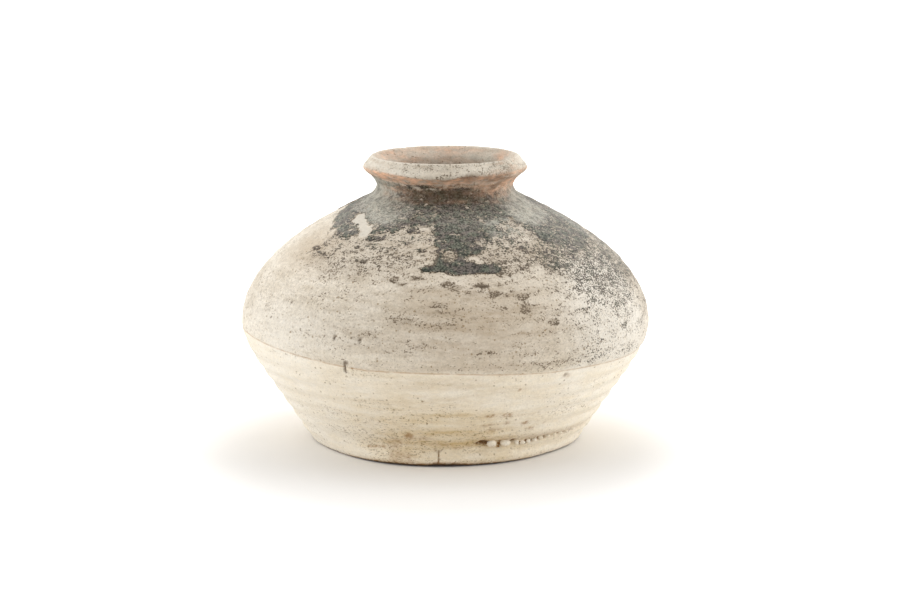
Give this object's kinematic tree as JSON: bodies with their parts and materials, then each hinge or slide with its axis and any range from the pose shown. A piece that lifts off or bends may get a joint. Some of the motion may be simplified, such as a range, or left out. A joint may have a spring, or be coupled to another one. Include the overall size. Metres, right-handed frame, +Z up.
{
  "type": "glazed jar",
  "caption": "Squat wheel-thrown stoneware jar with a flat base, broad shoulder and short flared mouth, luted from clay sections and part coated in dark worn glaze; holds small things.",
  "frame": {"origin": "middle of the base, on the plane the jar stands on", "axes": "+Z up along the axis of the wheel, -Y towards the front with the long run of glaze"},
  "size_m": [0.126, 0.126, 0.088],
  "materials": {
    "clay": "bare fired stoneware, matt, pitted and speckled",
    "slip": "fired luting slip, matt and crumbly",
    "dark_glaze": "weathered iron glaze, dull, worn through in specks",
    "rust_glaze": "thin glaze film burnt to rust brown, dull"
  },
  "bodies": {
    "root": {"base_disc": "clay", "base_slip": "slip", "lower_wall": "clay", "belly_slip": "slip", "shoulder_wall": "clay", "collar_slip": "slip", "neck_collar": "clay", "glaze_coat": "dark_glaze", "mouth_glaze": "rust_glaze"}
  },
  "joints": []
}
